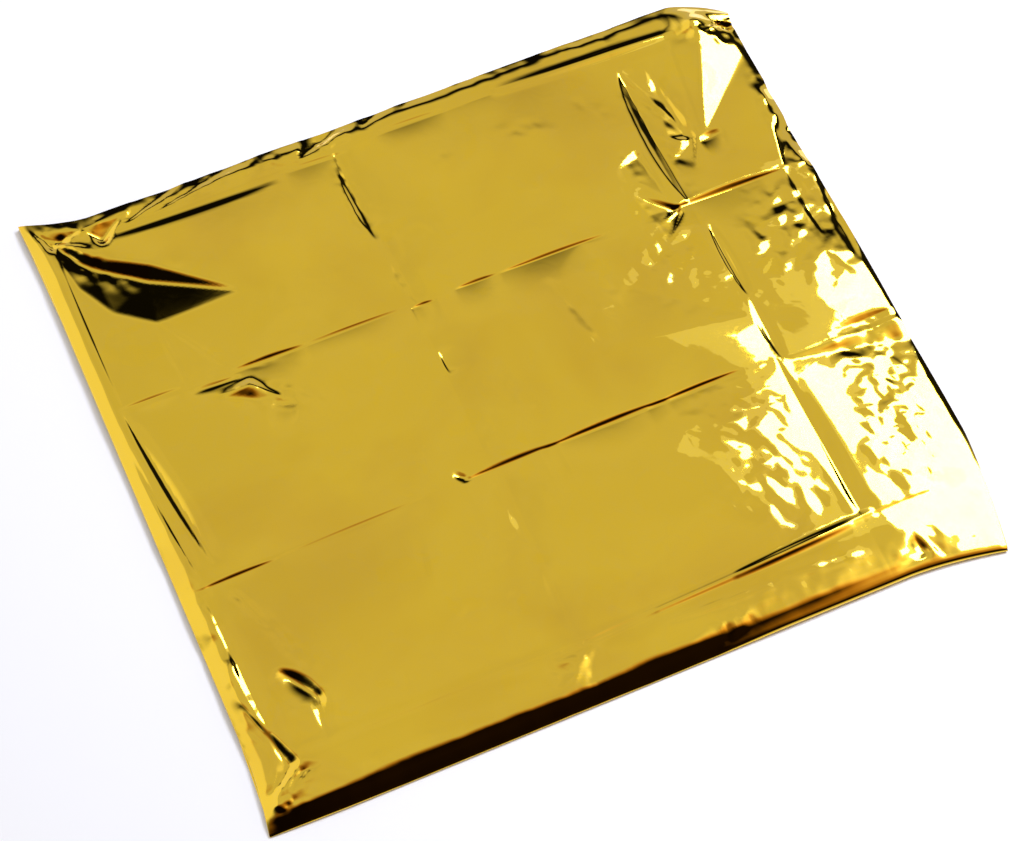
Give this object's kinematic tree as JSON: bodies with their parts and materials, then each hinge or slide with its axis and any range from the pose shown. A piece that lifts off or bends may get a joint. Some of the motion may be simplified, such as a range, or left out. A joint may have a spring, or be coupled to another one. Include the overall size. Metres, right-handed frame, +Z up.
{
  "type": "folded emergency foil blanket",
  "caption": "Thin metallised film blanket, folded to a loose, slightly puffed rectangular pad with packet creases and drawn corners.",
  "frame": {"origin": "on the underside, below the middle of the folded pad's bounding box", "axes": "+X along the pad's longer side, towards the sheet's cut end; +Y from the round fold to the sheet's cut edges; +Z up"},
  "size_m": [0.7115, 0.6625, 0.0165],
  "materials": {
    "gold_foil": "gold-coloured metallised plastic film, mirror-like and finely crinkled"
  },
  "bodies": {
    "root": {"foil_blanket": "gold_foil"}
  },
  "joints": []
}
